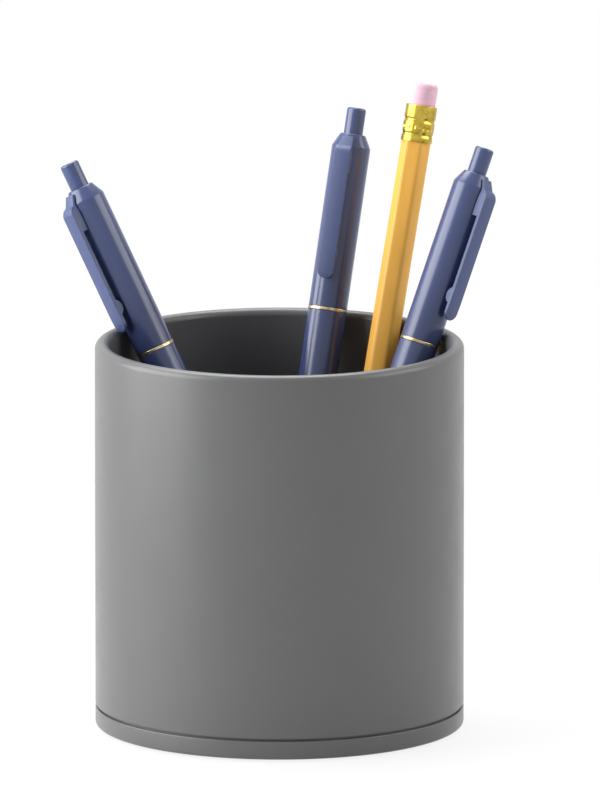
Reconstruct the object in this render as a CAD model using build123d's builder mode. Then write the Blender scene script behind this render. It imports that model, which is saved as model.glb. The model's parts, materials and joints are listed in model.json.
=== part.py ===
from build123d import *
import os
from math import atan2, cos, pi, radians, sin, sqrt, tan

# A round desk pen stand, stocked with three click pens and a pencil that lean on its lip.
# Millimetres, +Z up, origin at the middle of the face that stands on the desk.

# Stand: a plain tube with a rounded lip, closed by a plugged-in base on a non-slip pad
cup_diameter = 90.0
cup_height = 95.25
cup_wall = 3.5
lip_facets = 4  # flats round the half circle of the lip
base_height = 5.1  # desk to the lower edge of the shadow seam
seam_height = 0.6
seam_depth = 0.9
floor_height = 9.0
spigot_fit = 0.1
pad_inset = 4.0
pad_thickness = 0.5

# How the instruments stand: foot on the floor, lean towards a compass angle, turn about their own axis
rest_gap = 0.3  # clearance to the floor and to the lip
left_foot_x = 8.1
left_foot_y = 3.4
left_lean_angle = 162.2
left_turn_angle = 58.0
middle_foot_x = -1.3
middle_row_gap = 0.7  # spare room behind the left pen's row
middle_lean_angle = 58.7
middle_turn_angle = -165.5
right_foot_x = 5.0
right_row_gap = 2.05  # spare room in front of the left pen's row
right_lean_angle = 32.8
right_turn_angle = -76.0
pencil_foot_x = 12.1
pencil_foot_y = 11.75
pencil_lean_angle = 46.9
pencil_turn_angle = -146.4

# Pen barrel, measured along its axis from the writing point, with the point out
pen_length = 140.6
barrel_diameter = 9.5
barrel_wall = 1.35
point_out = 2.6
nose_diameter = 3.6
nose_length = 8.0
nose_bore_length = 9.4
ring_from_top = 50.0
ring_height = 0.8
ring_proud = 0.05
joint_length = 6.0  # lower barrel's spigot inside the upper barrel
joint_wall = 0.95
joint_fit = 0.1
slide_fit = 0.15
press_fit = 0.05

# Pen top and click mechanism
crown_diameter = 6.2  # top of the barrel, round the button
taper_height = 3.2
guide_length = 6.5  # bore that guides the button
button_diameter = 4.7
button_exposed = 6.5
click_travel = 4.0
stop_gap = 0.2
flange_height = 1.5

# Refill and its return spring
tube_diameter = 3.8
tube_from_point = 26.0
point_diameter = 2.2
point_cone = 2.0
ball_diameter = 0.8
spring_wire = 0.4
spring_turns = 4
spring_sides = 6  # straight runs of wire in a turn

# Clip: a flat sprung bar whose round-nosed root sits in a slot under the taper
clip_width = 4.0
clip_top_width = 2.8
clip_thickness = 0.9
clip_gap = 1.5  # bar to barrel
clip_length = 35.5
clip_drop = 0.8  # crown's edge to the top of the clip
clip_top_thickness = 0.4  # where it lies on the taper
clip_shoulder = 2.2  # height of the round bend from the taper out to the bar
clip_root_length = 6.8
clip_root_gap = 0.3
clip_tip_length = 6.0
clip_tip_thickness = 0.6
clip_bump_length = 4.0
clip_bump_gap = 0.25
root_diameter = 1.7
root_width = 3.0
root_depth = 1.2
root_fit = 0.2

# Pencil, measured along its axis from the lead's point
pencil_length = 147.3
pencil_flats = 6.6
cone_angle = 11.5  # half angle of the sharpened cone
lead_diameter = 2.2
lead_tip_diameter = 0.5
lead_fit = 0.03
tenon_diameter = 6.5
tenon_fit = 0.05
ferrule_diameter = 7.7
ferrule_length = 9.0
eraser_diameter = 6.5
eraser_exposed = 5.6
eraser_seat = 4.0
eraser_gap = 0.2  # tenon to eraser, inside the ferrule
eraser_edge = 0.8

# Stand, worked out
cup_radius = cup_diameter / 2
bore_radius = cup_radius - cup_wall
lip_radius = cup_wall / 2
lip_circle = cup_radius - lip_radius
lip_height = cup_height - lip_radius
body_bottom = base_height + seam_height
spigot_radius = bore_radius - spigot_fit
seam_radius = cup_radius - seam_depth

# Pen, worked out
barrel_radius = barrel_diameter / 2
pen_bore = barrel_radius - barrel_wall
joint_radius = pen_bore - joint_fit
lower_bore = joint_radius - joint_wall
nose_top = point_out + nose_length
spring_seat = point_out + nose_bore_length
ring_bottom = pen_length - ring_from_top - ring_height / 2
ring_top = ring_bottom + ring_height
joint_top = ring_top + joint_length
crown_radius = crown_diameter / 2
crown_top = pen_length - button_exposed
shoulder = crown_top - taper_height
taper_slope = (barrel_radius - crown_radius) / taper_height
guide_bottom = crown_top - guide_length
button_radius = button_diameter / 2
flange_top = guide_bottom - click_travel - stop_gap
flange_bottom = flange_top - flange_height
tube_radius = tube_diameter / 2
point_radius = point_diameter / 2
spring_radius = (point_radius + tube_radius) / 2 + slide_fit

# Clip, worked out
root_height = shoulder - root_fit - root_diameter
clip_inside = barrel_radius + clip_gap
clip_outside = clip_inside + clip_thickness
clip_top = crown_top - clip_drop
clip_foot = clip_top - clip_length
bar_foot = clip_foot + clip_tip_length
clip_edges = [
    (clip_outside, clip_width / 2, bar_foot),
    (clip_outside, -clip_width / 2, bar_foot),
    (clip_inside + clip_tip_thickness, 0, clip_foot),
]

# Pencil, worked out
corner_radius = pencil_flats / 2 / cos(pi / 6)
ferrule_radius = ferrule_diameter / 2
ferrule_top = pencil_length - eraser_exposed
ferrule_foot = ferrule_top - ferrule_length
ferrule_bore = tenon_diameter / 2 + tenon_fit
tenon_length = ferrule_length - eraser_seat - eraser_gap
lead_top = ferrule_foot + tenon_length
lead_radius = lead_diameter / 2
lead_tip = lead_tip_diameter / 2
cone_slope = tan(radians(cone_angle))
cone_apex = -lead_tip / cone_slope


class Stance:
    """Where an instrument stands: it rises from its foot and leans until its barrel or clip meets the lip."""

    def __init__(self, foot_x, foot_y, lean_angle, turn_angle, radius, clip_edges=()):
        self.foot = Vector(foot_x, foot_y, floor_height + rest_gap)
        self.lean = radians(lean_angle)
        self.turn = radians(turn_angle)
        upright = 0.0
        through_lip = self.tilt_through_lip()
        for _ in range(30):
            tilt = (upright + through_lip) / 2
            self.tip(tilt)
            if self.lip_clearance(radius, clip_edges) > rest_gap:
                upright = tilt
            else:
                through_lip = tilt
        self.tip(upright)

    def tip(self, tilt):
        direction = self.leaning(tilt)
        under_side = self.leaning(tilt + pi / 2)
        facing = under_side * cos(self.turn) + direction.cross(under_side) * sin(self.turn)
        self.cross = Plane(origin=self.foot, x_dir=facing, z_dir=direction)
        self.side = Plane(origin=self.foot, x_dir=self.cross.x_dir, z_dir=-self.cross.y_dir)
        self.axis = Axis(self.foot, direction)

    def leaning(self, tilt):
        return Vector(sin(tilt) * cos(self.lean), sin(tilt) * sin(self.lean), cos(tilt))

    def tilt_through_lip(self):
        """Tilt at which the axis runs through the circle at the heart of the round lip."""
        along = self.foot.X * cos(self.lean) + self.foot.Y * sin(self.lean)
        across = self.foot.X * sin(self.lean) - self.foot.Y * cos(self.lean)
        return atan2(sqrt(lip_circle**2 - across**2) - along, lip_height - self.foot.Z)

    def lip_clearance(self, radius, clip_edges):
        """Least room between the lip and the barrel, or the clip's edges that run up from (x, y, z)."""
        steps = 720
        room = cup_diameter
        for step in range(steps):
            angle = 2 * pi * step / steps
            heart = Vector(lip_circle * cos(angle), lip_circle * sin(angle), lip_height)
            spot = self.cross.to_local_coords(heart)
            room = min(room, sqrt(spot.X**2 + spot.Y**2) - radius - lip_radius)
            for x, y, z in clip_edges:
                below = max(0, z - spot.Z)
                room = min(room, sqrt((spot.X - x) ** 2 + (spot.Y - y) ** 2 + below**2) - lip_radius)
        return room


def save(part, name):
    part.label = name
    export_step(part, f"parts/{name}.step")


def turned(side, axis, points):
    """A solid of revolution about the axis, from (radius, height) points on the side plane."""
    with BuildPart() as solid:
        with BuildSketch(side):
            with BuildLine():
                Polyline(*points, close=True)
            make_face()
        revolve(axis=axis)
    return solid.part


# Stand


def make_cup_body():
    angles = [pi * facet / lip_facets for facet in range(lip_facets + 1)]
    lip = [(lip_circle + lip_radius * cos(a), lip_height + lip_radius * sin(a)) for a in angles]
    return turned(Plane.XZ, Axis.Z, [(bore_radius, body_bottom), (cup_radius, body_bottom), *lip])


def make_base():
    return turned(
        Plane.XZ,
        Axis.Z,
        [
            (0, pad_thickness),
            (cup_radius, pad_thickness),
            (cup_radius, base_height),
            (seam_radius, base_height),
            (seam_radius, body_bottom),
            (spigot_radius, body_bottom),
            (spigot_radius, floor_height),
            (0, floor_height),
        ],
    )


def make_pad():
    with BuildPart() as pad:
        with BuildSketch():
            Circle(cup_radius - pad_inset)
        extrude(amount=pad_thickness)
    return pad.part


# Pen barrel


def make_lower_barrel(stance):
    nose_bore = point_radius + slide_fit
    return turned(
        stance.side,
        stance.axis,
        [
            (nose_diameter / 2, point_out),
            (nose_bore, point_out),
            (nose_bore, spring_seat),
            (lower_bore, spring_seat),
            (lower_bore, joint_top),
            (joint_radius, joint_top),
            (joint_radius, ring_bottom),
            (barrel_radius, ring_bottom),
            (barrel_radius, nose_top),
        ],
    )


def make_centre_ring(stance):
    inside = joint_radius + press_fit
    outside = barrel_radius + ring_proud
    return turned(
        stance.side,
        stance.axis,
        [(inside, ring_bottom), (outside, ring_bottom), (outside, ring_top), (inside, ring_top)],
    )


def make_upper_barrel(stance):
    guide_bore = button_radius + slide_fit
    with BuildPart() as upper_barrel:
        with BuildSketch(stance.side):
            with BuildLine():
                Polyline(
                    (pen_bore, ring_top),
                    (barrel_radius, ring_top),
                    (barrel_radius, shoulder),
                    (crown_radius, crown_top),
                    (guide_bore, crown_top),
                    (guide_bore, guide_bottom),
                    (pen_bore, guide_bottom),
                    close=True,
                )
            make_face()
        revolve(axis=stance.axis)
        # Slot for the clip's root, just under the taper
        with BuildSketch(stance.cross.offset(root_height - root_diameter / 2 - root_fit)):
            with Locations((barrel_radius - root_depth - root_fit, 0)):
                Rectangle(barrel_radius, root_width + 2 * root_fit, align=(Align.MIN, Align.CENTER))
        extrude(amount=root_diameter + 2 * root_fit, mode=Mode.SUBTRACT)
    return upper_barrel.part


# Pen clip


def make_clip(stance):
    half_width = clip_width / 2
    half_bump = clip_bump_length / 2
    root_face = barrel_radius + clip_root_gap
    root_foot = shoulder - clip_root_length
    top_side = root_face - (clip_top - shoulder) * taper_slope
    bend = (root_face + clip_top_thickness, shoulder)
    bar_top = (clip_outside, shoulder - clip_shoulder)
    bar_bottom = (clip_outside, bar_foot)
    tip = (clip_inside + clip_tip_thickness, clip_foot)
    bump_low = (clip_inside, bar_foot - half_bump)
    bump_high = (clip_inside, bar_foot + half_bump)
    with BuildPart() as clip:
        # Side view: top on the taper, round bend, straight bar, curved-in tip, bump and root block
        with BuildSketch(stance.side):
            with BuildLine():
                Polyline((pen_bore, clip_top), (top_side + clip_top_thickness, clip_top), bend)
                TangentArc(bar_top, bend, tangent=(0, 1))
                Line(bar_top, bar_bottom)
                TangentArc(bar_bottom, tip, tangent=(0, -1))
                Polyline(tip, (clip_inside, clip_foot), bump_low)
                ThreePointArc(bump_low, (barrel_radius + clip_bump_gap, bar_foot), bump_high)
                Polyline(bump_high, (clip_inside, root_foot), (pen_bore, root_foot), (pen_bore, clip_top))
            make_face()
        extrude(amount=half_width, both=True)
        # Front view: narrow at the crown, full width below the bend, round at the free end
        front = Plane(origin=stance.cross.origin, x_dir=stance.cross.y_dir, z_dir=stance.cross.x_dir)
        with BuildSketch(front):
            with BuildLine():
                Polyline(
                    (-half_width, clip_foot + half_width),
                    (-half_width, shoulder - clip_shoulder),
                    (-clip_top_width / 2, clip_top),
                    (clip_top_width / 2, clip_top),
                    (half_width, shoulder - clip_shoulder),
                    (half_width, clip_foot + half_width),
                )
                ThreePointArc(
                    (half_width, clip_foot + half_width),
                    (0, clip_foot),
                    (-half_width, clip_foot + half_width),
                )
            make_face()
        extrude(amount=clip_outside + clip_thickness, mode=Mode.INTERSECT)
        # The root block and the top are saddles that fit round the barrel and its taper
        with BuildSketch(stance.side):
            with BuildLine():
                Polyline(
                    (0, root_foot),
                    (root_face, root_foot),
                    (root_face, shoulder),
                    (top_side, clip_top),
                    (0, clip_top),
                    close=True,
                )
            make_face()
        revolve(axis=stance.axis, mode=Mode.SUBTRACT)
        # Round nose of the root, on which the clip rocks in its slot
        root_radius = root_diameter / 2
        root_inner = barrel_radius - root_depth + root_radius
        with BuildSketch(stance.side):
            with BuildLine():
                ThreePointArc(
                    (root_inner, root_height - root_radius),
                    (root_inner - root_radius, root_height),
                    (root_inner, root_height + root_radius),
                )
                Polyline(
                    (root_inner, root_height + root_radius),
                    (clip_inside, root_height + root_radius),
                    (clip_inside, root_height - root_radius),
                    (root_inner, root_height - root_radius),
                )
            make_face()
        extrude(amount=root_width / 2, both=True)
    return clip.part


# Click mechanism and refill


def make_button(stance):
    """Button with the flange that stops it under its guide and pushes the refill."""
    flange_radius = pen_bore - slide_fit
    return turned(
        stance.side,
        stance.axis,
        [
            (0, pen_length),
            (button_radius, pen_length),
            (button_radius, flange_top),
            (flange_radius, flange_top),
            (flange_radius, flange_bottom),
            (0, flange_bottom),
        ],
    )


def make_refill(stance):
    ball_radius = ball_diameter / 2
    return turned(
        stance.side,
        stance.axis,
        [
            (0, 0),
            (ball_radius, 0),
            (point_radius, point_cone),
            (point_radius, tube_from_point),
            (tube_radius, tube_from_point),
            (tube_radius, flange_bottom),
            (0, flange_bottom),
        ],
    )


def make_spring(stance):
    """Return spring, squeezed between the seat in the nose and the step of the refill."""
    low = spring_seat + spring_wire
    high = tube_from_point - spring_wire
    steps = spring_turns * spring_sides
    with BuildPart() as spring:
        coil_points = []
        for step in range(steps + 1):
            angle = 2 * pi * step / spring_sides
            rise = low + (high - low) * step / steps
            place = Vector(spring_radius * cos(angle), spring_radius * sin(angle), rise)
            coil_points.append(stance.cross.from_local_coords(place))
        with BuildLine():
            coil = Polyline(*coil_points)
        with BuildSketch(Plane(origin=coil @ 0, x_dir=stance.cross.x_dir, z_dir=coil % 0)):
            Rectangle(spring_wire, spring_wire)
        sweep(path=coil, transition=Transition.RIGHT)
    return spring.part


# Pencil


def make_casing(stance):
    flat_to_vertex = 30
    with BuildPart() as casing:
        with BuildSketch(stance.cross):
            RegularPolygon(pencil_flats / 2, 6, major_radius=False, rotation=flat_to_vertex)
        extrude(amount=ferrule_foot)
        # The sharpened cone cuts the hexagon in scallops
        with BuildSketch(stance.side):
            with BuildLine():
                Polyline(
                    (0, cone_apex),
                    ((ferrule_foot - cone_apex) * cone_slope, ferrule_foot),
                    (0, ferrule_foot),
                    close=True,
                )
            make_face()
        revolve(axis=stance.axis, mode=Mode.INTERSECT)
        with BuildSketch(stance.cross.offset(ferrule_foot)):
            Circle(tenon_diameter / 2)
        extrude(amount=tenon_length)
        with BuildSketch(stance.cross):
            Circle(lead_radius + lead_fit)
        extrude(amount=lead_top, mode=Mode.SUBTRACT)
    return casing.part


def make_lead(stance):
    cone_top = cone_apex + lead_radius / cone_slope
    return turned(
        stance.side,
        stance.axis,
        [(0, 0), (lead_tip, 0), (lead_radius, cone_top), (lead_radius, lead_top), (0, lead_top)],
    )


def make_ferrule(stance):
    return turned(
        stance.side,
        stance.axis,
        [
            (ferrule_bore, ferrule_foot),
            (ferrule_radius, ferrule_foot),
            (ferrule_radius, ferrule_top),
            (ferrule_bore, ferrule_top),
        ],
    )


def make_eraser(stance):
    radius = eraser_diameter / 2
    seat = ferrule_top - eraser_seat
    return turned(
        stance.side,
        stance.axis,
        [
            (0, seat),
            (radius, seat),
            (radius, pencil_length - eraser_edge),
            (radius - eraser_edge, pencil_length),
            (0, pencil_length),
        ],
    )


os.makedirs("parts", exist_ok=True)

save(make_cup_body(), "cup_body")
save(make_base(), "base")
save(make_pad(), "non_slip_pad")

middle_foot_y = left_foot_y + barrel_diameter + middle_row_gap
right_foot_y = left_foot_y - barrel_diameter - right_row_gap
pen_sizes = (barrel_radius, clip_edges)
pens = {
    "left_pen": Stance(left_foot_x, left_foot_y, left_lean_angle, left_turn_angle, *pen_sizes),
    "middle_pen": Stance(middle_foot_x, middle_foot_y, middle_lean_angle, middle_turn_angle, *pen_sizes),
    "right_pen": Stance(right_foot_x, right_foot_y, right_lean_angle, right_turn_angle, *pen_sizes),
}
pen_pieces = {
    "lower_barrel": make_lower_barrel,
    "centre_ring": make_centre_ring,
    "upper_barrel": make_upper_barrel,
    "clip": make_clip,
    "button": make_button,
    "refill": make_refill,
    "spring": make_spring,
}
for pen_name, pen_stance in pens.items():
    for piece_name, make_piece in pen_pieces.items():
        save(make_piece(pen_stance), f"{pen_name}_{piece_name}")

pencil = Stance(pencil_foot_x, pencil_foot_y, pencil_lean_angle, pencil_turn_angle, corner_radius)
pencil_pieces = {
    "casing": make_casing,
    "lead": make_lead,
    "ferrule": make_ferrule,
    "eraser": make_eraser,
}
for piece_name, make_piece in pencil_pieces.items():
    save(make_piece(pencil), f"pencil_{piece_name}")
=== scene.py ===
import json
from math import acos, cos, hypot, pi, radians, sin, tan

import bmesh
import bpy
from mathutils import Matrix, Vector


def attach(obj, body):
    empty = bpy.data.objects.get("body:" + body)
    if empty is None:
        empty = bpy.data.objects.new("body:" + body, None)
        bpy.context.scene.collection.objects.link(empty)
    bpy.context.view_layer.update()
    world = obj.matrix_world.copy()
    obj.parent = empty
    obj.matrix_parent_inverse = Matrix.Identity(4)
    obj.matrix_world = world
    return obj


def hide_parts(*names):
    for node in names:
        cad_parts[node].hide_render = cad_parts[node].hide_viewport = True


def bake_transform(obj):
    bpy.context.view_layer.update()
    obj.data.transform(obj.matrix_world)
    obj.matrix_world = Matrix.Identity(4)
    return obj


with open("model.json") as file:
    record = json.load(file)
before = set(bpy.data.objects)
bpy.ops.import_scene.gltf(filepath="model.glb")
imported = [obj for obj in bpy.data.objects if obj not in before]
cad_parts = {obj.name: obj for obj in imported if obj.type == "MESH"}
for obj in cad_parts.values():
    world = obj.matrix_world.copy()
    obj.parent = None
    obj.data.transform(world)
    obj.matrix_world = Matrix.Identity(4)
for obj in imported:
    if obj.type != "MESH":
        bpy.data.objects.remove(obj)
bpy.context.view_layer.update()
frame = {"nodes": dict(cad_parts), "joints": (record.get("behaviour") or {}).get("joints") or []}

# The looks of a grey pen stand with three click pens and a pencil. Metres, in the frame's own axes.
MM = 0.001
SAME = 0.02 * MM  # two sizes closer than this are one
SHARP = radians(38)  # an edge that turns more than this stays crisp
ARC_STEP = radians(11)  # one facet of a rounded corner
NOISE_LOW = 0.3  # most values of a noise lie from here
NOISE_HIGH = 0.7  # to here

PENS = ("left_pen", "middle_pen", "right_pen")


# Measuring the frame


def joint(name):
    return next(j for j in frame["joints"] if j["name"] == name)


def corner_points(node):
    """A node's vertices, each place once."""
    places = {tuple(round(c, 8) for c in v.co) for v in frame["nodes"][node].data.vertices}
    return [Vector(p) for p in sorted(places)]


def foot_of(node, axis):
    """Middle of the lowest ring of a node that was turned about this axis."""
    points = corner_points(node)
    low = min(p.dot(axis) for p in points)
    ring = [p for p in points if p.dot(axis) < low + SAME]
    return sum(ring, Vector()) / len(ring)


def placed(axis, facing, origin):
    """Matrix of an instrument: z along it from its point, x towards its clip or one of its flats."""
    across = axis.cross(facing).normalized()
    turn = Matrix((across.cross(axis), across, axis)).transposed().to_4x4()
    return Matrix.Translation(origin) @ turn


def pen_place(pen):
    axis = Vector(joint(f"{pen}_lift")["axis"]).normalized()
    hinge = Vector(joint(f"{pen}_clip_flex")["axis"])
    return placed(axis, axis.cross(hinge), foot_of(f"{pen}_refill", axis))


def pencil_place():
    axis = Vector(joint("pencil_lift")["axis"]).normalized()
    faces = frame["nodes"]["pencil_casing"].data.polygons
    flats = [f for f in faces if abs(f.normal.dot(axis)) < 0.001]
    flat = max(flats, key=lambda f: f.area)
    return placed(axis, flat.normal.copy(), foot_of("pencil_lead", axis))


class Rings:
    """The circles that a turned node is made of, as (radius, height) in its own axes."""

    def __init__(self, node, place=Matrix()):
        local = [place.inverted() @ p for p in corner_points(node)]
        self.circles = [(hypot(p.x, p.y), p.z) for p in local]
        self.low = min(z for _, z in self.circles)
        self.high = max(z for _, z in self.circles)
        self.radius = max(r for r, _ in self.circles)

    def outer(self, height):
        return max(r for r, z in self.circles if abs(z - height) < SAME)

    def inner(self, height):
        return min(r for r, z in self.circles if abs(z - height) < SAME)

    def top(self, radius):
        return max(z for r, z in self.circles if abs(r - radius) < SAME)

    def foot(self, radius):
        return min(z for r, z in self.circles if abs(r - radius) < SAME)


# Building meshes


def rounded(corners, closed=True):
    """Outline points from (radius, height, rounding) corners, each rounded corner as an arc."""
    points = []
    count = len(corners)
    for index, (r, z, rounding) in enumerate(corners):
        here = Vector((r, z))
        ends = not closed and index in (0, count - 1)
        if rounding <= 0 or ends:
            points.append((r, z))
            continue
        before = Vector(corners[index - 1][:2]) - here
        after = Vector(corners[(index + 1) % count][:2]) - here
        half = acos(max(-1, min(1, before.normalized().dot(after.normalized())))) / 2
        reach = min(rounding / tan(half), 0.48 * before.length, 0.48 * after.length)
        start = here + before.normalized() * reach
        end = here + after.normalized() * reach
        middle = here + (before.normalized() + after.normalized()).normalized() * (reach / cos(half))
        sweep = pi - 2 * half
        steps = max(2, round(sweep / ARC_STEP))
        first, last = start - middle, end - middle
        for step in range(steps + 1):
            share = step / steps
            spoke = (first * sin((1 - share) * sweep) + last * sin(share * sweep)) / sin(sweep)
            points.append(tuple(middle + spoke))
    return points


def keep_crisp(bm):
    """Marks the edges that stay crisp under smooth shading."""
    for edge in bm.edges:
        edge.smooth = len(edge.link_faces) == 2 and edge.calc_face_angle(0) < SHARP


def finish_mesh(name, bm):
    """An object from a bmesh, smooth but for its crisp edges."""
    bmesh.ops.remove_doubles(bm, verts=bm.verts, dist=0.5e-6)
    bmesh.ops.recalc_face_normals(bm, faces=bm.faces)
    for face in bm.faces:
        face.smooth = True
    keep_crisp(bm)
    mesh = bpy.data.meshes.new(name)
    bm.to_mesh(mesh)
    bm.free()
    obj = bpy.data.objects.new(name, mesh)
    bpy.context.scene.collection.objects.link(obj)
    return obj


def lathe(name, outline, segments=96, closed=True, dent=None):
    """A turned piece from (radius, height) points; dent(height, angle) is taken off the radius."""
    bm = bmesh.new()
    rings = []
    for r, z in outline:
        if r < SAME:
            rings.append([bm.verts.new((0, 0, z))])
            continue
        ring = []
        for step in range(segments):
            angle = 2 * pi * step / segments
            radius = r - dent(z, angle) if dent else r
            ring.append(bm.verts.new((radius * cos(angle), radius * sin(angle), z)))
        rings.append(ring)
    pairs = list(zip(rings, rings[1:]))
    if closed:
        pairs.append((rings[-1], rings[0]))
    for low, high in pairs:
        for step in range(segments):
            after = (step + 1) % segments
            places = ((low, step), (low, after), (high, after), (high, step))
            corners = list(dict.fromkeys(ring[turn % len(ring)] for ring, turn in places))
            if len(corners) > 2:
                bm.faces.new(corners)
    return finish_mesh(name, bm)


def rod(name, outline, segments=96):
    """A turned piece whose outline starts and ends on its axis."""
    return lathe(name, outline, segments, closed=False)


def block(name, low, high):
    """A box between two corners."""
    bm = bmesh.new()
    stretch = Matrix.Diagonal((*(high - low), 1))
    bmesh.ops.create_cube(bm, size=1, matrix=Matrix.Translation((low + high) / 2) @ stretch)
    return finish_mesh(name, bm)


def cut(obj, tool):
    """Takes a tool's form out of a piece and deletes the tool."""
    change = obj.modifiers.new("cut", "BOOLEAN")
    change.operation = "DIFFERENCE"
    change.solver = "EXACT"
    change.object = tool
    bpy.context.view_layer.update()
    result = obj.evaluated_get(bpy.context.evaluated_depsgraph_get())
    mesh = bpy.data.meshes.new_from_object(result)
    obj.modifiers.clear()
    obj.data = mesh
    bpy.data.objects.remove(tool)
    bm = bmesh.new()
    bm.from_mesh(mesh)
    keep_crisp(bm)
    bm.to_mesh(mesh)
    bm.free()


def dress(obj, place, body, node, slot, *materials):
    """Puts a piece in its place, on its body, in the stead of a node, with its materials."""
    obj.matrix_world = place
    obj.data.materials.clear()
    for material in materials:
        obj.data.materials.append(material)
    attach(obj, body)
    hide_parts(node)
    return obj


# Materials


class Shader:
    """A procedural material around one Principled shader, patterned in the piece's own axes."""

    def __init__(self, name, **sockets):
        self.material = bpy.data.materials.new(name)
        self.material.use_nodes = True
        self.tree = self.material.node_tree
        self.surface = self.tree.nodes["Principled BSDF"]
        self.own_axes = self.add("ShaderNodeTexCoord").outputs["Object"]
        for socket, value in sockets.items():
            self.surface.inputs[socket.replace("_", " ")].default_value = value

    def add(self, kind, **inputs):
        node = self.tree.nodes.new(kind)
        for socket, value in inputs.items():
            self.feed(value, node.inputs[socket.replace("_", " ")])
        return node

    def feed(self, value, socket):
        if isinstance(value, bpy.types.NodeSocket):
            self.tree.links.new(value, socket)
        else:
            socket.default_value = value

    def noise(self, size, detail=3.0, stretch=(1, 1, 1)):
        """Noise whose features are about this size."""
        place = self.add("ShaderNodeMapping", Vector=self.own_axes, Scale=stretch).outputs["Vector"]
        node = self.add("ShaderNodeTexNoise", Vector=place, Scale=1 / size, Detail=detail)
        return node.outputs["Fac"]

    def ramp(self, factor, *stops):
        """Colours by position along a factor."""
        node = self.add("ShaderNodeValToRGB", Fac=factor)
        band = node.color_ramp
        while len(band.elements) < len(stops):
            band.elements.new(1.0)
        for element, (position, colour) in zip(band.elements, stops):
            element.position = position
            element.color = (*colour, 1.0)
        return node.outputs["Color"]

    def tones(self, noise, dark, light):
        """Two colours that run into each other with a noise."""
        return self.ramp(noise, (NOISE_LOW, dark), (NOISE_HIGH, light))

    def levels(self, noise, low, high):
        """A noise spread over a range of numbers."""
        node = self.add("ShaderNodeMapRange", Value=noise, From_Min=NOISE_LOW, From_Max=NOISE_HIGH)
        self.feed(low, node.inputs["To Min"])
        self.feed(high, node.inputs["To Max"])
        return node.outputs["Result"]

    def blend(self, factor, first, second):
        """One colour over another by a factor."""
        node = self.tree.nodes.new("ShaderNodeMix")
        node.data_type = "RGBA"
        self.feed(factor, node.inputs[0])
        self.feed(first, node.inputs[6])
        self.feed(second, node.inputs[7])
        return node.outputs[2]

    def colour(self, socket):
        self.feed(socket, self.surface.inputs["Base Color"])

    def roughness(self, socket):
        self.feed(socket, self.surface.inputs["Roughness"])

    def bump(self, height, depth):
        node = self.add("ShaderNodeBump", Height=height, Distance=depth)
        self.feed(node.outputs["Normal"], self.surface.inputs["Normal"])


def shade(colour, factor):
    return tuple(min(1.0, c * factor) for c in colour)


def moulded_plastic(name, colour, rough, grain, specular):
    """Satin moulded plastic: slow drift of tone and gloss, and a grain of (size, depth) in millimetres."""
    look = Shader(name, Specular_IOR_Level=specular)
    grain_size, grain_depth = (length * MM for length in grain)
    look.colour(look.tones(look.noise(18 * MM), shade(colour, 0.98), shade(colour, 1.02)))
    look.roughness(look.levels(look.noise(7 * MM), *rough))
    look.bump(look.noise(grain_size, detail=2.0), grain_depth)
    return look.material


def bright_metal(name, dull, bright, rough, lines):
    """Plated or rolled metal, with faint lines round it and duller, rougher cloudy patches."""
    look = Shader(name, Metallic=1.0)
    clouds = look.noise(1.6 * MM)
    look.colour(look.ramp(clouds, (0.35, dull), (0.6, bright)))
    look.roughness(look.levels(clouds, *rough))
    look.bump(look.noise(0.5 * MM, stretch=(0.2, 0.2, lines)), 0.004 * MM)
    return look.material


def lacquer(name, colour):
    """Pencil paint: several dipped coats, a little uneven along the pencil."""
    look = Shader(name, Specular_IOR_Level=0.3)
    drift = look.noise(5 * MM, stretch=(1, 1, 0.25))
    look.colour(look.tones(drift, shade(colour, 0.93), shade(colour, 1.05)))
    look.roughness(look.levels(look.noise(2 * MM), 0.34, 0.46))
    look.bump(look.noise(0.9 * MM, stretch=(1, 1, 0.1)), 0.012 * MM)
    return look.material


def bare_wood(name):
    """Sharpened cedar: grain along the pencil, with short darker flecks."""
    look = Shader(name)
    grain = look.noise(0.7 * MM, detail=4.0, stretch=(1, 1, 0.06))
    fleck, early, late = (0.42, 0.22, 0.1), (0.62, 0.38, 0.2), (0.72, 0.48, 0.28)
    look.colour(look.ramp(grain, (0.3, fleck), (0.5, early), (0.75, late)))
    look.roughness(look.levels(grain, 0.55, 0.75))
    look.bump(grain, 0.04 * MM)
    return look.material


def graphite(name):
    """Pencil lead, with a dull shine in streaks."""
    look = Shader(name, Metallic=0.35)
    streaks = look.noise(0.4 * MM, stretch=(1, 1, 0.3))
    look.colour(look.tones(streaks, (0.035, 0.035, 0.038), (0.075, 0.075, 0.08)))
    look.roughness(look.levels(streaks, 0.32, 0.5))
    look.bump(streaks, 0.01 * MM)
    return look.material


def soft_rubber(name, colour, smudged):
    """Eraser rubber: chalky, mottled, with faint smudges."""
    look = Shader(name, Subsurface_Weight=0.15, Subsurface_Radius=(1.2 * MM, 0.6 * MM, 0.6 * MM))
    mottle = look.tones(look.noise(0.8 * MM), shade(colour, 0.96), shade(colour, 1.04))
    smudge = look.levels(look.noise(2.4 * MM), -0.35, 0.3)
    look.colour(look.blend(smudge, mottle, (*smudged, 1.0)))
    look.roughness(look.levels(look.noise(1.1 * MM), 0.7, 0.9))
    look.bump(look.noise(0.25 * MM), 0.01 * MM)
    return look.material


def foam(name):
    """Closed-cell foam sheet under the base."""
    look = Shader(name)
    cell_size = 0.6 * MM
    cells = look.add("ShaderNodeTexVoronoi", Vector=look.own_axes, Scale=1 / cell_size).outputs["Distance"]
    look.colour(look.ramp(cells, (0.1, (0.012, 0.012, 0.013)), (0.6, (0.035, 0.035, 0.036))))
    look.roughness(look.levels(cells, 0.8, 0.95))
    look.bump(cells, 0.05 * MM)
    return look.material


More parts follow.
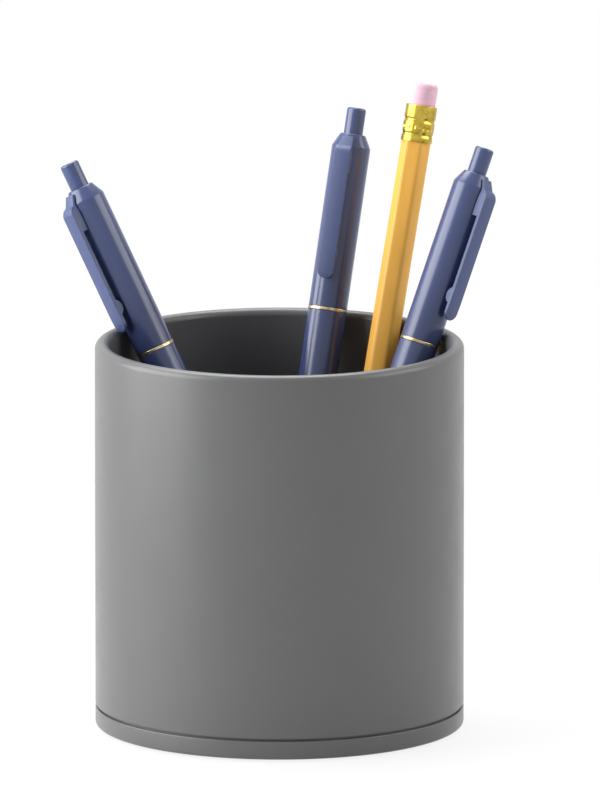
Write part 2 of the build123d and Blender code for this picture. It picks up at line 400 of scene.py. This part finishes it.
def wire(name):
    """Drawn spring steel."""
    look = Shader(name, Metallic=1.0)
    drawn = look.noise(0.2 * MM)
    look.colour(look.tones(drawn, (0.42, 0.43, 0.45), (0.62, 0.63, 0.65)))
    look.roughness(look.levels(drawn, 0.25, 0.4))
    return look.material


GREY = (0.104, 0.1045, 0.1055)
NAVY = (0.042, 0.06, 0.157)
# The pens' navy made lighter for the clips: painted light on the flat clip faces.
CLIP_NAVY_WITH_PAINTED_LIGHT = (0.058, 0.077, 0.178)
GOLD = (0.55, 0.46, 0.3)
DULL_GOLD = (0.34, 0.26, 0.14)
BRASS = (0.55, 0.41, 0.068)
DULL_BRASS = (0.36, 0.25, 0.035)
POINT_BRASS = (0.72, 0.66, 0.52)
DULL_POINT_BRASS = (0.5, 0.45, 0.34)
PALE = (0.6, 0.6, 0.62)
OCHRE = (0.82, 0.43, 0.076)
PINK = (0.74, 0.46, 0.56)
SMUDGED_PINK = (0.45, 0.4, 0.42)

stand_plastic = moulded_plastic(
    "stand_plastic", GREY, rough=(0.3, 0.36), grain=(0.35, 0.004), specular=0.45
)
pen_plastic = moulded_plastic(
    "pen_plastic", NAVY, rough=(0.21, 0.27), grain=(0.6, 0.0015), specular=0.55
)
# Satin clip plastic, whose lighter navy is painted light on the flat clip faces.
clip_plastic = moulded_plastic(
    "clip_plastic", CLIP_NAVY_WITH_PAINTED_LIGHT, rough=(0.42, 0.5), grain=(0.6, 0.0015), specular=0.4
)
ring_gold = bright_metal("ring_gold", DULL_GOLD, GOLD, rough=(0.38, 0.24), lines=3.0)
ferrule_brass = bright_metal("ferrule_brass", DULL_BRASS, BRASS, rough=(0.32, 0.18), lines=2.0)
refill_plastic = moulded_plastic(
    "refill_plastic", PALE, rough=(0.25, 0.35), grain=(0.3, 0.002), specular=0.5
)
point_brass = bright_metal("point_brass", DULL_POINT_BRASS, POINT_BRASS, rough=(0.35, 0.2), lines=4.0)
pencil_paint = lacquer("pencil_paint", OCHRE)
pencil_wood = bare_wood("pencil_wood")
pencil_graphite = graphite("pencil_graphite")
eraser_pink = soft_rubber("eraser_pink", PINK, SMUDGED_PINK)
pad_foam = foam("pad_foam")
spring_steel = wire("spring_steel")


# Stand


def make_cup():
    rings = Rings("cup_body")
    bore = rings.inner(rings.low)
    wall = rings.radius - bore
    outline = rounded(
        [
            (bore, rings.low, 0),
            (rings.radius, rings.low, 0.25 * MM),
            (rings.radius, rings.high, wall / 2),
            (bore, rings.high, wall / 2),
        ]
    )
    cup = lathe("cup", outline, segments=256)
    dress(cup, Matrix(), "stand", "cup_body", "stand_grey", stand_plastic)


def make_base():
    rings = Rings("base")
    spigot = rings.outer(rings.high)
    ledge = rings.top(rings.radius)
    stepped = {round(r, 6) for r, z in rings.circles if ledge - SAME < z < rings.high - SAME}
    seam_radius = sorted(stepped)[-2]
    seam_top = rings.top(seam_radius)
    outline = rounded(
        [
            (0, rings.low, 0),
            (rings.radius, rings.low, 0.9 * MM),
            (rings.radius, ledge, 0.25 * MM),
            (seam_radius, ledge, 0),
            (seam_radius, seam_top, 0),
            (spigot, seam_top, 0),
            (spigot, rings.high, 0.3 * MM),
            (0, rings.high, 0),
        ],
        closed=False,
    )
    base = rod("stand_base", outline, segments=256)
    dress(base, Matrix(), "stand", "base", "stand_grey", stand_plastic)


def dress_pad():
    materials = frame["nodes"]["non_slip_pad"].data.materials
    materials.clear()
    materials.append(pad_foam)


# Pens


def make_lower_barrel(pen, place):
    rings = Rings(f"{pen}_lower_barrel", place)
    bore = rings.inner(rings.high)
    nose_bore = rings.inner(rings.low)
    seat = rings.top(nose_bore)
    joint_radius = rings.outer(rings.high)
    outline = rounded(
        [
            (nose_bore, rings.low, 0.1 * MM),
            (rings.outer(rings.low), rings.low, 0.35 * MM),
            (rings.radius, rings.foot(rings.radius), 22 * MM),
            (rings.radius, rings.top(rings.radius), 0.12 * MM),
            (joint_radius, rings.top(rings.radius), 0),
            (joint_radius, rings.high, 0.2 * MM),
            (bore, rings.high, 0),
            (bore, seat, 0),
            (nose_bore, seat, 0),
        ]
    )
    barrel = lathe(f"{pen}_lower", outline)
    dress(barrel, place, pen, f"{pen}_lower_barrel", "pen_navy", pen_plastic)


def make_ring(pen, place):
    rings = Rings(f"{pen}_centre_ring", place)
    inside = rings.inner(rings.low)
    outline = rounded(
        [
            (inside, rings.low, 0),
            (rings.radius, rings.low, 0.16 * MM),
            (rings.radius, rings.high, 0.16 * MM),
            (inside, rings.high, 0),
        ]
    )
    ring = lathe(f"{pen}_ring", outline)
    dress(ring, place, pen, f"{pen}_centre_ring", "ring_gold", ring_gold)


def clip_slot(pen, place, barrel):
    """The box in which the round nose of the clip's root rocks, a little larger than the nose."""
    fit = 0.2 * MM
    clip = [place.inverted() @ p for p in corner_points(f"{pen}_clip")]
    shoulder = barrel.top(barrel.radius)
    nose = [p for p in clip if p.z < shoulder and hypot(p.x, p.y) < barrel.radius - SAME]
    deep = min(p.x for p in nose) - fit
    half = max(p.y for p in nose) + fit
    low = min(p.z for p in nose) - fit
    high = max(p.z for p in nose) + fit
    outside = barrel.radius + MM
    return block("slot", Vector((deep, -half, low)), Vector((outside, half, high)))


def make_upper_barrel(pen, place):
    rings = Rings(f"{pen}_upper_barrel", place)
    bore = rings.inner(rings.low)
    guide_bore = rings.inner(rings.high)
    guide_foot = rings.foot(guide_bore)
    shoulder = rings.top(rings.radius)
    crown = rings.outer(rings.high)
    outline = rounded(
        [
            (bore, rings.low, 0),
            (rings.radius, rings.low, 0.12 * MM),
            (rings.radius, shoulder, 0.8 * MM),
            (crown, rings.high, 0.5 * MM),
            (guide_bore, rings.high, 0.15 * MM),
            (guide_bore, guide_foot, 0),
            (bore, guide_foot, 0),
        ]
    )
    barrel = lathe(f"{pen}_upper", outline)
    cut(barrel, clip_slot(pen, place, rings))
    dress(barrel, place, pen, f"{pen}_upper_barrel", "pen_navy", pen_plastic)


def make_button(pen, place):
    rings = Rings(f"{pen}_button", place)
    stem = rings.outer(rings.high)
    outline = rounded(
        [
            (0, rings.low, 0),
            (rings.radius, rings.low, 0.15 * MM),
            (rings.radius, rings.top(rings.radius), 0.15 * MM),
            (stem, rings.top(rings.radius), 0),
            (stem, rings.high, 0.6 * MM),
            (0, rings.high, 0),
        ],
        closed=False,
    )
    button = rod(f"{pen}_push_button", outline, segments=72)
    plunger = pen.replace("pen", "plunger")
    dress(button, place, plunger, f"{pen}_button", "pen_navy", pen_plastic)


def make_refill(pen, place):
    rings = Rings(f"{pen}_refill", place)
    step = rings.foot(rings.radius)
    point_radius = sorted({round(r, 6) for r, z in rings.circles if z < step + SAME})[-2]
    ball = rings.outer(rings.low)
    outline = rounded(
        [
            (0, rings.low, 0),
            (ball, rings.low, 0.3 * MM),
            (point_radius, rings.foot(point_radius), 0.4 * MM),
            (point_radius, step, 0),
            (rings.radius, step, 0.15 * MM),
            (rings.radius, rings.high, 0.1 * MM),
            (0, rings.high, 0),
        ],
        closed=False,
    )
    refill = rod(f"{pen}_ink_refill", outline, segments=48)
    plunger = pen.replace("pen", "plunger")
    dress(refill, place, plunger, f"{pen}_refill", "refill_plastic", refill_plastic, point_brass)
    for face in refill.data.polygons:
        face.material_index = int(face.center.z < step + SAME)


def softened(name, node, place, width):
    """A node's own form with its crisp edges rounded."""
    source = frame["nodes"][node]
    bm = bmesh.new()
    bm.from_mesh(source.data)
    bm.transform(place.inverted() @ source.matrix_world)
    bmesh.ops.remove_doubles(bm, verts=bm.verts, dist=1e-6)
    bmesh.ops.dissolve_limit(bm, angle_limit=radians(1), verts=bm.verts, edges=bm.edges)
    crisp = [e for e in bm.edges if e.calc_face_angle(0) > SHARP]
    bmesh.ops.bevel(
        bm,
        geom=crisp,
        offset=width,
        offset_type="OFFSET",
        segments=3,
        profile=0.5,
        affect="EDGES",
        clamp_overlap=True,
    )
    return finish_mesh(name, bm)


def make_clip(pen, place):
    clip = softened(f"{pen}_sprung_clip", f"{pen}_clip", place, 0.28 * MM)
    dress(clip, place, pen.replace("pen", "clip"), f"{pen}_clip", "pen_navy", clip_plastic)


def make_spring(pen, place):
    """Round wire wound as a helix."""
    turns = 9
    steps = 20
    sides = 8
    rings = Rings(f"{pen}_spring", place)
    wire_radius = 0.2 * MM
    radius = rings.radius - 2 * wire_radius
    low = rings.low + 2 * wire_radius
    high = rings.high - 2 * wire_radius
    bm = bmesh.new()
    loops = []
    for step in range(turns * steps + 1):
        angle = 2 * pi * step / steps
        out = Vector((cos(angle), sin(angle), 0))
        middle = out * radius + Vector((0, 0, low + (high - low) * step / (turns * steps)))
        loop = []
        for side in range(sides):
            around = 2 * pi * side / sides
            spoke = out * cos(around) + Vector((0, 0, sin(around)))
            loop.append(bm.verts.new(middle + wire_radius * spoke))
        loops.append(loop)
    for before, after in zip(loops, loops[1:]):
        for side in range(sides):
            last = (side + 1) % sides
            bm.faces.new((before[side], before[last], after[last], after[side]))
    bm.faces.new(loops[0])
    bm.faces.new(reversed(loops[-1]))
    spring = finish_mesh(f"{pen}_return_spring", bm)
    spring.matrix_world = place
    spring.data.materials.append(spring_steel)
    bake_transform(spring)
    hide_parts(f"{pen}_spring")


# Pencil


def hexagon(flats, rounding):
    """Points round a hexagon with rounded corners, close together, a flat towards x."""
    spacing = 0.25 * MM
    corner = flats / 2 / cos(pi / 6)
    turns = [pi / 6 + pi / 3 * k for k in range(6)]
    corners = [(corner * cos(turn), corner * sin(turn), rounding) for turn in turns]
    arcs = [Vector(p) for p in rounded(corners)]
    points = []
    for start, end in zip(arcs, arcs[1:] + arcs[:1]):
        pieces = max(1, round((end - start).length / spacing))
        points.extend(start.lerp(end, piece / pieces) for piece in range(pieces))
    return points


def make_casing(place):
    """Painted hexagon, sharpened to a cone that cuts its flats in scallops."""
    rings = Rings("pencil_casing", place)
    lead = Rings("pencil_lead", place)
    tenon = rings.outer(rings.high)
    bore = rings.inner(rings.high)
    ferrule_foot = rings.foot(tenon)
    flats = 2 * rings.radius * cos(pi / 6)
    slope = (lead.radius - lead.outer(lead.low)) / (lead.foot(lead.radius) - lead.low)
    apex = lead.low - lead.outer(lead.low) / slope
    corner_rounding = 1.2 * MM
    outline = hexagon(flats, corner_rounding)

    def on_cone(point, radius):
        return (*(point.normalized() * radius), apex + radius / slope)

    bm = bmesh.new()
    bands = [
        [bm.verts.new(on_cone(p, bore)) for p in outline],
        [bm.verts.new(on_cone(p, p.length)) for p in outline],
        [bm.verts.new((*p, ferrule_foot)) for p in outline],
        [bm.verts.new((*(p.normalized() * tenon), ferrule_foot)) for p in outline],
        [bm.verts.new((*(p.normalized() * tenon), rings.high)) for p in outline],
        [bm.verts.new((*(p.normalized() * bore), rings.high)) for p in outline],
    ]
    painted_band = 1
    count = len(outline)
    for index, (low, high) in enumerate(zip(bands, bands[1:] + bands[:1])):
        for step in range(count):
            after = (step + 1) % count
            face = bm.faces.new((low[step], low[after], high[after], high[step]))
            face.material_index = int(index != painted_band)
    casing = finish_mesh("pencil_wood_casing", bm)
    dress(casing, place, "pencil", "pencil_casing", "pencil_wood", pencil_paint, pencil_wood)


def make_lead(place):
    rings = Rings("pencil_lead", place)
    outline = rounded(
        [
            (0, rings.low, 0),
            (rings.outer(rings.low), rings.low, 0.15 * MM),
            (rings.radius, rings.foot(rings.radius), 0),
            (rings.radius, rings.high, 0),
            (0, rings.high, 0),
        ],
        closed=False,
    )
    lead = rod("pencil_graphite_lead", outline, segments=48)
    dress(lead, place, "pencil", "pencil_lead", "pencil_lead", pencil_graphite)


def make_ferrule(place):
    """Brass tube, crimped by two rolled grooves with a row of punched dimples between them."""
    rings = Rings("pencil_ferrule", place)
    inside = rings.inner(rings.high)
    upper_groove = rings.high - 3.6 * MM
    lower_groove = rings.high - 7.2 * MM
    groove_depth = 0.24 * MM
    groove_half = 0.65 * MM
    dimples = 20
    punched = rings.high - 5.5 * MM
    dimple_depth = 0.16 * MM
    dimple_half = 0.5 * MM
    dimple_step = 0.2 * MM
    corners = [(inside, rings.low, 0), (rings.radius, rings.low, 0.12 * MM)]
    for groove in (lower_groove, upper_groove):
        corners += [
            (rings.radius, groove - groove_half, 0.4 * MM),
            (rings.radius - groove_depth, groove, 0.5 * MM),
            (rings.radius, groove + groove_half, 0.4 * MM),
        ]
        if groove == lower_groove:
            corners += [(rings.radius, punched + dimple_step * row, 0) for row in range(-3, 4)]
    corners += [(rings.radius, rings.high, 0.12 * MM), (inside, rings.high, 0)]

    def dent(height, angle):
        along = (height - punched) / dimple_half
        return dimple_depth * max(0, 1 - along * along) * max(0, cos(dimples * angle)) ** 2

    ferrule = lathe("pencil_brass_ferrule", rounded(corners), segments=240, dent=dent)
    dress(ferrule, place, "pencil", "pencil_ferrule", "ferrule_brass", ferrule_brass)


def make_eraser(place):
    rings = Rings("pencil_eraser", place)
    worn = 0.15 * MM
    outline = rounded(
        [
            (0, rings.low, 0),
            (rings.radius, rings.low, 0),
            (rings.radius, rings.high - worn, 1.0 * MM),
            (0, rings.high, 0),
        ],
        closed=False,
    )
    eraser = rod("pencil_rubber_eraser", outline)
    dress(eraser, place, "pencil", "pencil_eraser", "eraser_pink", eraser_pink)


# Studio


def facing(place, aim):
    return (Vector(aim) - Vector(place)).to_track_quat("-Z", "Y").to_matrix().to_4x4()


def make_camera():
    """A long lens, a little above the desk, looking along +y."""
    height_seen = 195.04 * MM
    aim = Vector((5.0, 0, 80.7)) * MM
    away = 5.5
    above = radians(11.2)
    place = aim + away * Vector((0, -cos(above), sin(above)))
    camera = bpy.data.objects.new("camera", bpy.data.cameras.new("camera"))
    camera.data.lens = camera.data.sensor_width * away / height_seen
    camera.matrix_world = Matrix.Translation(place) @ facing(place, aim)
    bpy.context.scene.collection.objects.link(camera)
    bpy.context.scene.camera = camera


def softbox(name, place, aim, width, height, power):
    lamp = bpy.data.lights.new(name, "AREA")
    lamp.shape = "RECTANGLE"
    lamp.size = width
    lamp.size_y = height
    lamp.energy = power
    box = bpy.data.objects.new(name, lamp)
    box.matrix_world = Matrix.Translation(place) @ facing(place, aim)
    bpy.context.scene.collection.objects.link(box)


def seen_directly(tree):
    """1 for rays that show the background as such: to the camera, in metal and through glass."""
    path = tree.nodes.new("ShaderNodeLightPath")
    seen = path.outputs["Is Camera Ray"]
    for ray in ("Is Glossy Ray", "Is Transmission Ray"):
        either = tree.nodes.new("ShaderNodeMath")
        either.operation = "MAXIMUM"
        tree.links.new(seen, either.inputs[0])
        tree.links.new(path.outputs[ray], either.inputs[1])
        seen = either.outputs[0]
    return seen


def make_world(ambient):
    """White surroundings that light the object less than they show."""
    world = bpy.data.worlds.new("studio")
    world.use_nodes = True
    tree = world.node_tree
    strength = tree.nodes.new("ShaderNodeMapRange")
    strength.inputs["To Min"].default_value = ambient
    tree.links.new(seen_directly(tree), strength.inputs["Value"])
    tree.nodes["Background"].inputs["Color"].default_value = (1, 1, 1, 1)
    tree.links.new(strength.outputs["Result"], tree.nodes["Background"].inputs["Strength"])
    bpy.context.scene.world = world


def make_floor(half_size, shadow_share, shadow_reach):
    """White sweep: it glows where it is looked at, but for a share near the object that shows its shadow."""
    sunk = 0.02 * MM
    mesh = bpy.data.meshes.new("floor")
    sides = ((-1, -1), (1, -1), (1, 1), (-1, 1))
    corners = [(x * half_size, y * half_size, -sunk) for x, y in sides]
    mesh.from_pydata(corners, [], [(0, 1, 2, 3)])
    floor = bpy.data.objects.new("floor", mesh)
    bpy.context.scene.collection.objects.link(floor)
    material = bpy.data.materials.new("floor_white")
    material.use_nodes = True
    tree = material.node_tree
    tree.nodes.remove(tree.nodes["Principled BSDF"])
    matte = tree.nodes.new("ShaderNodeBsdfDiffuse")
    matte.inputs["Color"].default_value = (0.9, 0.9, 0.9, 1)
    glow = tree.nodes.new("ShaderNodeEmission")
    distance = tree.nodes.new("ShaderNodeVectorMath")
    distance.operation = "LENGTH"
    tree.links.new(tree.nodes.new("ShaderNodeTexCoord").outputs["Object"], distance.inputs[0])
    white = tree.nodes.new("ShaderNodeMapRange")
    white.interpolation_type = "SMOOTHSTEP"
    white.inputs["From Min"].default_value = shadow_reach / 3
    white.inputs["From Max"].default_value = shadow_reach
    white.inputs["To Min"].default_value = 1 - shadow_share
    tree.links.new(distance.outputs["Value"], white.inputs["Value"])
    looked_at = tree.nodes.new("ShaderNodeMath")
    looked_at.operation = "MULTIPLY"
    tree.links.new(white.outputs["Result"], looked_at.inputs[1])
    tree.links.new(seen_directly(tree), looked_at.inputs[0])
    mix = tree.nodes.new("ShaderNodeMixShader")
    tree.links.new(looked_at.outputs[0], mix.inputs[0])
    tree.links.new(matte.outputs[0], mix.inputs[1])
    tree.links.new(glow.outputs[0], mix.inputs[2])
    tree.links.new(mix.outputs[0], tree.nodes["Material Output"].inputs["Surface"])
    mesh.materials.append(material)


make_cup()
make_base()
dress_pad()
for pen_name in PENS:
    pen_axes = pen_place(pen_name)
    make_lower_barrel(pen_name, pen_axes)
    make_ring(pen_name, pen_axes)
    make_upper_barrel(pen_name, pen_axes)
    make_clip(pen_name, pen_axes)
    make_button(pen_name, pen_axes)
    make_refill(pen_name, pen_axes)
    make_spring(pen_name, pen_axes)

pencil_axes = pencil_place()
make_casing(pencil_axes)
make_lead(pencil_axes)
make_ferrule(pencil_axes)
make_eraser(pencil_axes)

lamp_aim = Vector((0, 0, 70 * MM))
make_camera()
make_world(ambient=0.2)
make_floor(half_size=3.0, shadow_share=0.16, shadow_reach=0.22)
softbox("key_left", (-0.75, -0.12, 0.3), lamp_aim, width=0.8, height=0.9, power=14.4)
softbox("fill_right", (0.86, -0.12, 0.51), lamp_aim, width=0.8, height=0.6, power=5.0)
softbox("top", (-0.1, 0.35, 0.9), lamp_aim, width=0.8, height=0.6, power=10.0)
bpy.context.scene.view_settings.view_transform = "Standard"
